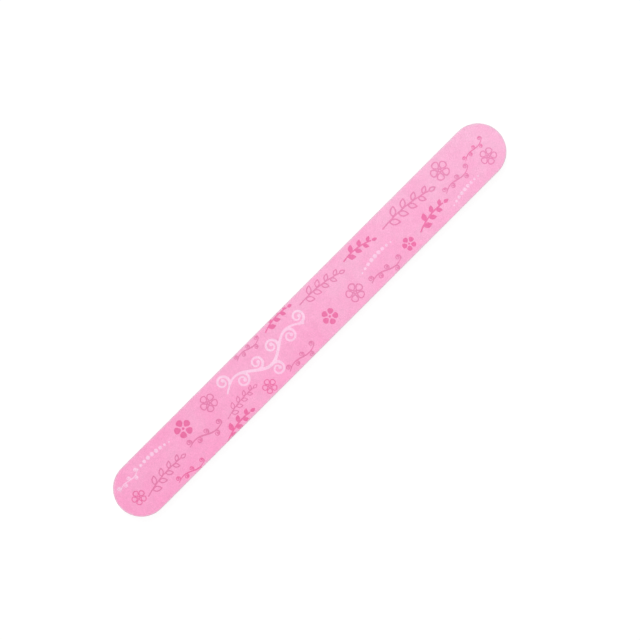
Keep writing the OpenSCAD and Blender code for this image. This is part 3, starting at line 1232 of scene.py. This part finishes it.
# %% Core strip
CORE_RIM = 0.15 * MM  # radius of both rims
cut_layer(
    "core", rounded_section("core", CORE_RIM, 6), CUT_STEP, "core_plastic",
    mark=0.22 * MM, upright=8.0, depth=0.02 * MM, seed=2.0, finish=core_finish,
)

# %% [markdown]
# ## The thin films
# Four tapes and the two coats of resin show only as hairlines along the edge, each 0.06 mm thick.
# Their CAD solids already have the right shape, so they stay and only get a finish, which is made
# in one way: soft spots of two tones, with the gloss and the relief that go with them. The tape is
# clear acrylic glue on a thin film, glossy, a little yellow, and dull with dust in spots. The resin
# under the grit is glossy too. Ink soaked into it, and it pooled in soft waves as it dried.

# %% Finishes of the films
POOL = 0.7 * MM  # how far apart the resin pooled
STICKY_SPOT = 0.3 * MM  # how far apart the tape caught dust


def spotted_film(name, constants, spot, detail, tones, share, gloss, relief):
    """A film in two tones. The share of the second, the gloss and the relief follow the spots."""
    material, tree, place = new_finish(name, constants)
    spots = add(tree, "TexNoise", {"Vector": place, "Scale": 1 / spot, "Detail": detail})
    second = add(tree, "MapRange", spots, *share)
    film = add(tree, "Mix", second, *map(linear, tones), data_type="RGBA")
    shine = add(tree, "MapRange", spots, *gloss)
    bump = add(tree, "Bump", {"Height": spots, "Strength": relief[0], "Distance": relief[1]})
    wire(tree, film, shine, bump)
    return material


films = {
    "bond_coat": spotted_film(
        "ink_stained_make_coat", {"IOR": 1.55, "Coat Weight": 0.3, "Coat Roughness": 0.2}, POOL, 3.0,
        ("#E39FBE", "#CF82A8"), (0.35, 0.65), (0.3, 0.7, 0.25, 0.45), (0.4, POOL / 40),
    ),
    "tape": spotted_film(
        "acrylic_transfer_tape", {"IOR": 1.47, "Subsurface Weight": 0.15, "Subsurface Scale": 0.2 * MM},
        STICKY_SPOT, 4.0, ("#EBDFCF", "#CFC2B6"), (0.5, 0.72), (0.5, 0.72, 0.18, 0.7),
        (0.3, STICKY_SPOT / 20),
    ),
}
for node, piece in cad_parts.items():
    for ending, finish in films.items():
        if node.endswith(ending):
            for slot in piece.material_slots:
                slot.material = finish
            print(node, "is finished in", finish.name)

# %% [markdown]
# ## Light
# The photograph is a cut-out from a white studio table: flat, bright light from all round, a touch
# more from beyond the upper left edge of the board, and no hard shadow. A plain white world does
# most of it. Two large soft lamps add the rest. Light adds up, so each source is given as the share
# of white that it gives a flat matt surface, and the shares come to one: a colour then renders just
# as it was written. The world looks pure white to the camera and in reflections.

# %% Rays that meet the background
SEEN_BY = ("Is Camera Ray", "Is Glossy Ray", "Is Transmission Ray")


def background_rays(tree):
    """1 for a ray on which the plain white background is seen: straight on, in a gloss or through
    something clear. Every other ray carries light to the object, and gets 0."""
    path = add(tree, "LightPath").outputs
    seen = path[SEEN_BY[0]]
    for kind in SEEN_BY[1:]:
        seen = add(tree, "Math", seen, path[kind], operation="MAXIMUM")
    return seen


print("The background is white where a ray", ", ".join(SEEN_BY))

# %% World
WORLD_SHARE = 0.6  # of white, and the lamps below give the rest
world = bpy.data.worlds.new("studio")
bpy.context.scene.world = world
world.use_nodes = True
tree = world.node_tree
tree.nodes.clear()
strength = add(tree, "MapRange", background_rays(tree), 0.0, 1.0, WORLD_SHARE, 1.0)
white = add(tree, "Background", {"Color": linear("#FFFFFF"), "Strength": strength})
add(tree, "OutputWorld", white)
print("Share of white from the world:", WORLD_SHARE)


# %% Lamps
def soft_lamp(name, place, size, share):
    """A square soft lamp aimed at the board, which adds its share of white there."""
    way = Vector((0, 0, cad_high[2])) - Vector(place)
    data = bpy.data.lights.new(name, "AREA")
    data.size = size
    data.energy = share * math.pi**2 * way.length_squared / (-way.normalized().z)
    lamp = new_object(name, data)
    lamp.location = place
    lamp.rotation_euler = way.to_track_quat("-Z", "Y").to_euler()
    print(name, f"{data.energy:.1f} W")


soft_lamp("key", (0.25, 0.55, 0.8), 0.5, 0.36)
soft_lamp("fill", (-0.5, -0.3, 0.9), 0.7, 0.13)

# %% [markdown]
# ## Table
# The board lies on its finer face on a white sheet of paper, which is flat and needs one face. For
# the light on the board it's a plain white sheet. Where it is seen it is nearly all glow, so that it
# reaches pure white all over, and a small share of it is lit, which keeps the thin contact shadow.

# %% Sheet of white paper
FLOOR_SIZE = 3.0  # in metres, so that its edge stays out of the picture
SHEET_CLOUD = 4 * MM  # how far apart the sheet is a touch darker and paler
LIT_SHARE, GLOW = 0.18, 0.86  # of white, where the sheet is seen
sheet = bpy.data.meshes.new("floor")
half = FLOOR_SIZE / 2
level = cad_low[2] - 0.2 * MM
corners = [(x * half, y * half, level) for x, y in ((-1, -1), (1, -1), (1, 1), (-1, 1))]
sheet.from_pydata(corners, [], [(0, 1, 2, 3)])
floor = new_object("floor", sheet)
material, tree, place = new_finish("white_sheet", {"Specular IOR Level": 0.0, "Roughness": 1.0})
tree.nodes["Principled BSDF"].inputs["Emission Color"].default_value = linear("#FFFFFF")
seen = background_rays(tree)
fibres = add(tree, "TexNoise", {"Vector": place, "Scale": 1 / SHEET_CLOUD, "Detail": 2.0})
bounce = add(tree, "MapRange", fibres, 0.0, 1.0, 0.79, 0.83)
tone = add(tree, "Mix", seen, bounce, LIT_SHARE, data_type="FLOAT")
glow = add(tree, "Math", seen, GLOW, operation="MULTIPLY")
wire(tree, tone, glow, sockets=("Base Color", "Emission Strength"))
sheet.materials.append(material)
print(f"Table {FLOOR_SIZE:.0f} m wide, {(cad_low[2] - level) / MM:.1f} mm below the board")

# %% [markdown]
# ## Camera
# The board was photographed from straight above with a long lens, turned so that it runs from lower
# left to upper right, a little left of the middle of the picture. A camera without perspective
# would come close, but a lens sees the ends of the board a little from the side, as this one does.

# %% Camera
LENS, SENSOR = 85.0, 36.0  # in mm
PICTURE = 640  # pixels wide
HEIGHT = 504.5 * MM  # above the grit
ASIDE = 3.45 * MM  # how far the camera stands to the picture's right of the board's middle
camera = new_object("camera", bpy.data.cameras.new("camera"))
camera.data.lens = LENS
camera.data.sensor_width = SENSOR
turn = math.radians(-45)
camera.rotation_euler = (0, 0, turn)
camera.location = (ASIDE * math.cos(turn), ASIDE * math.sin(turn), cad_high[2] + HEIGHT)
bpy.context.scene.camera = camera
bpy.context.scene.view_settings.view_transform = "Standard"
print(f"{PICTURE * LENS / SENSOR / (HEIGHT / MM):.3f} pixels to a millimetre on the grit")
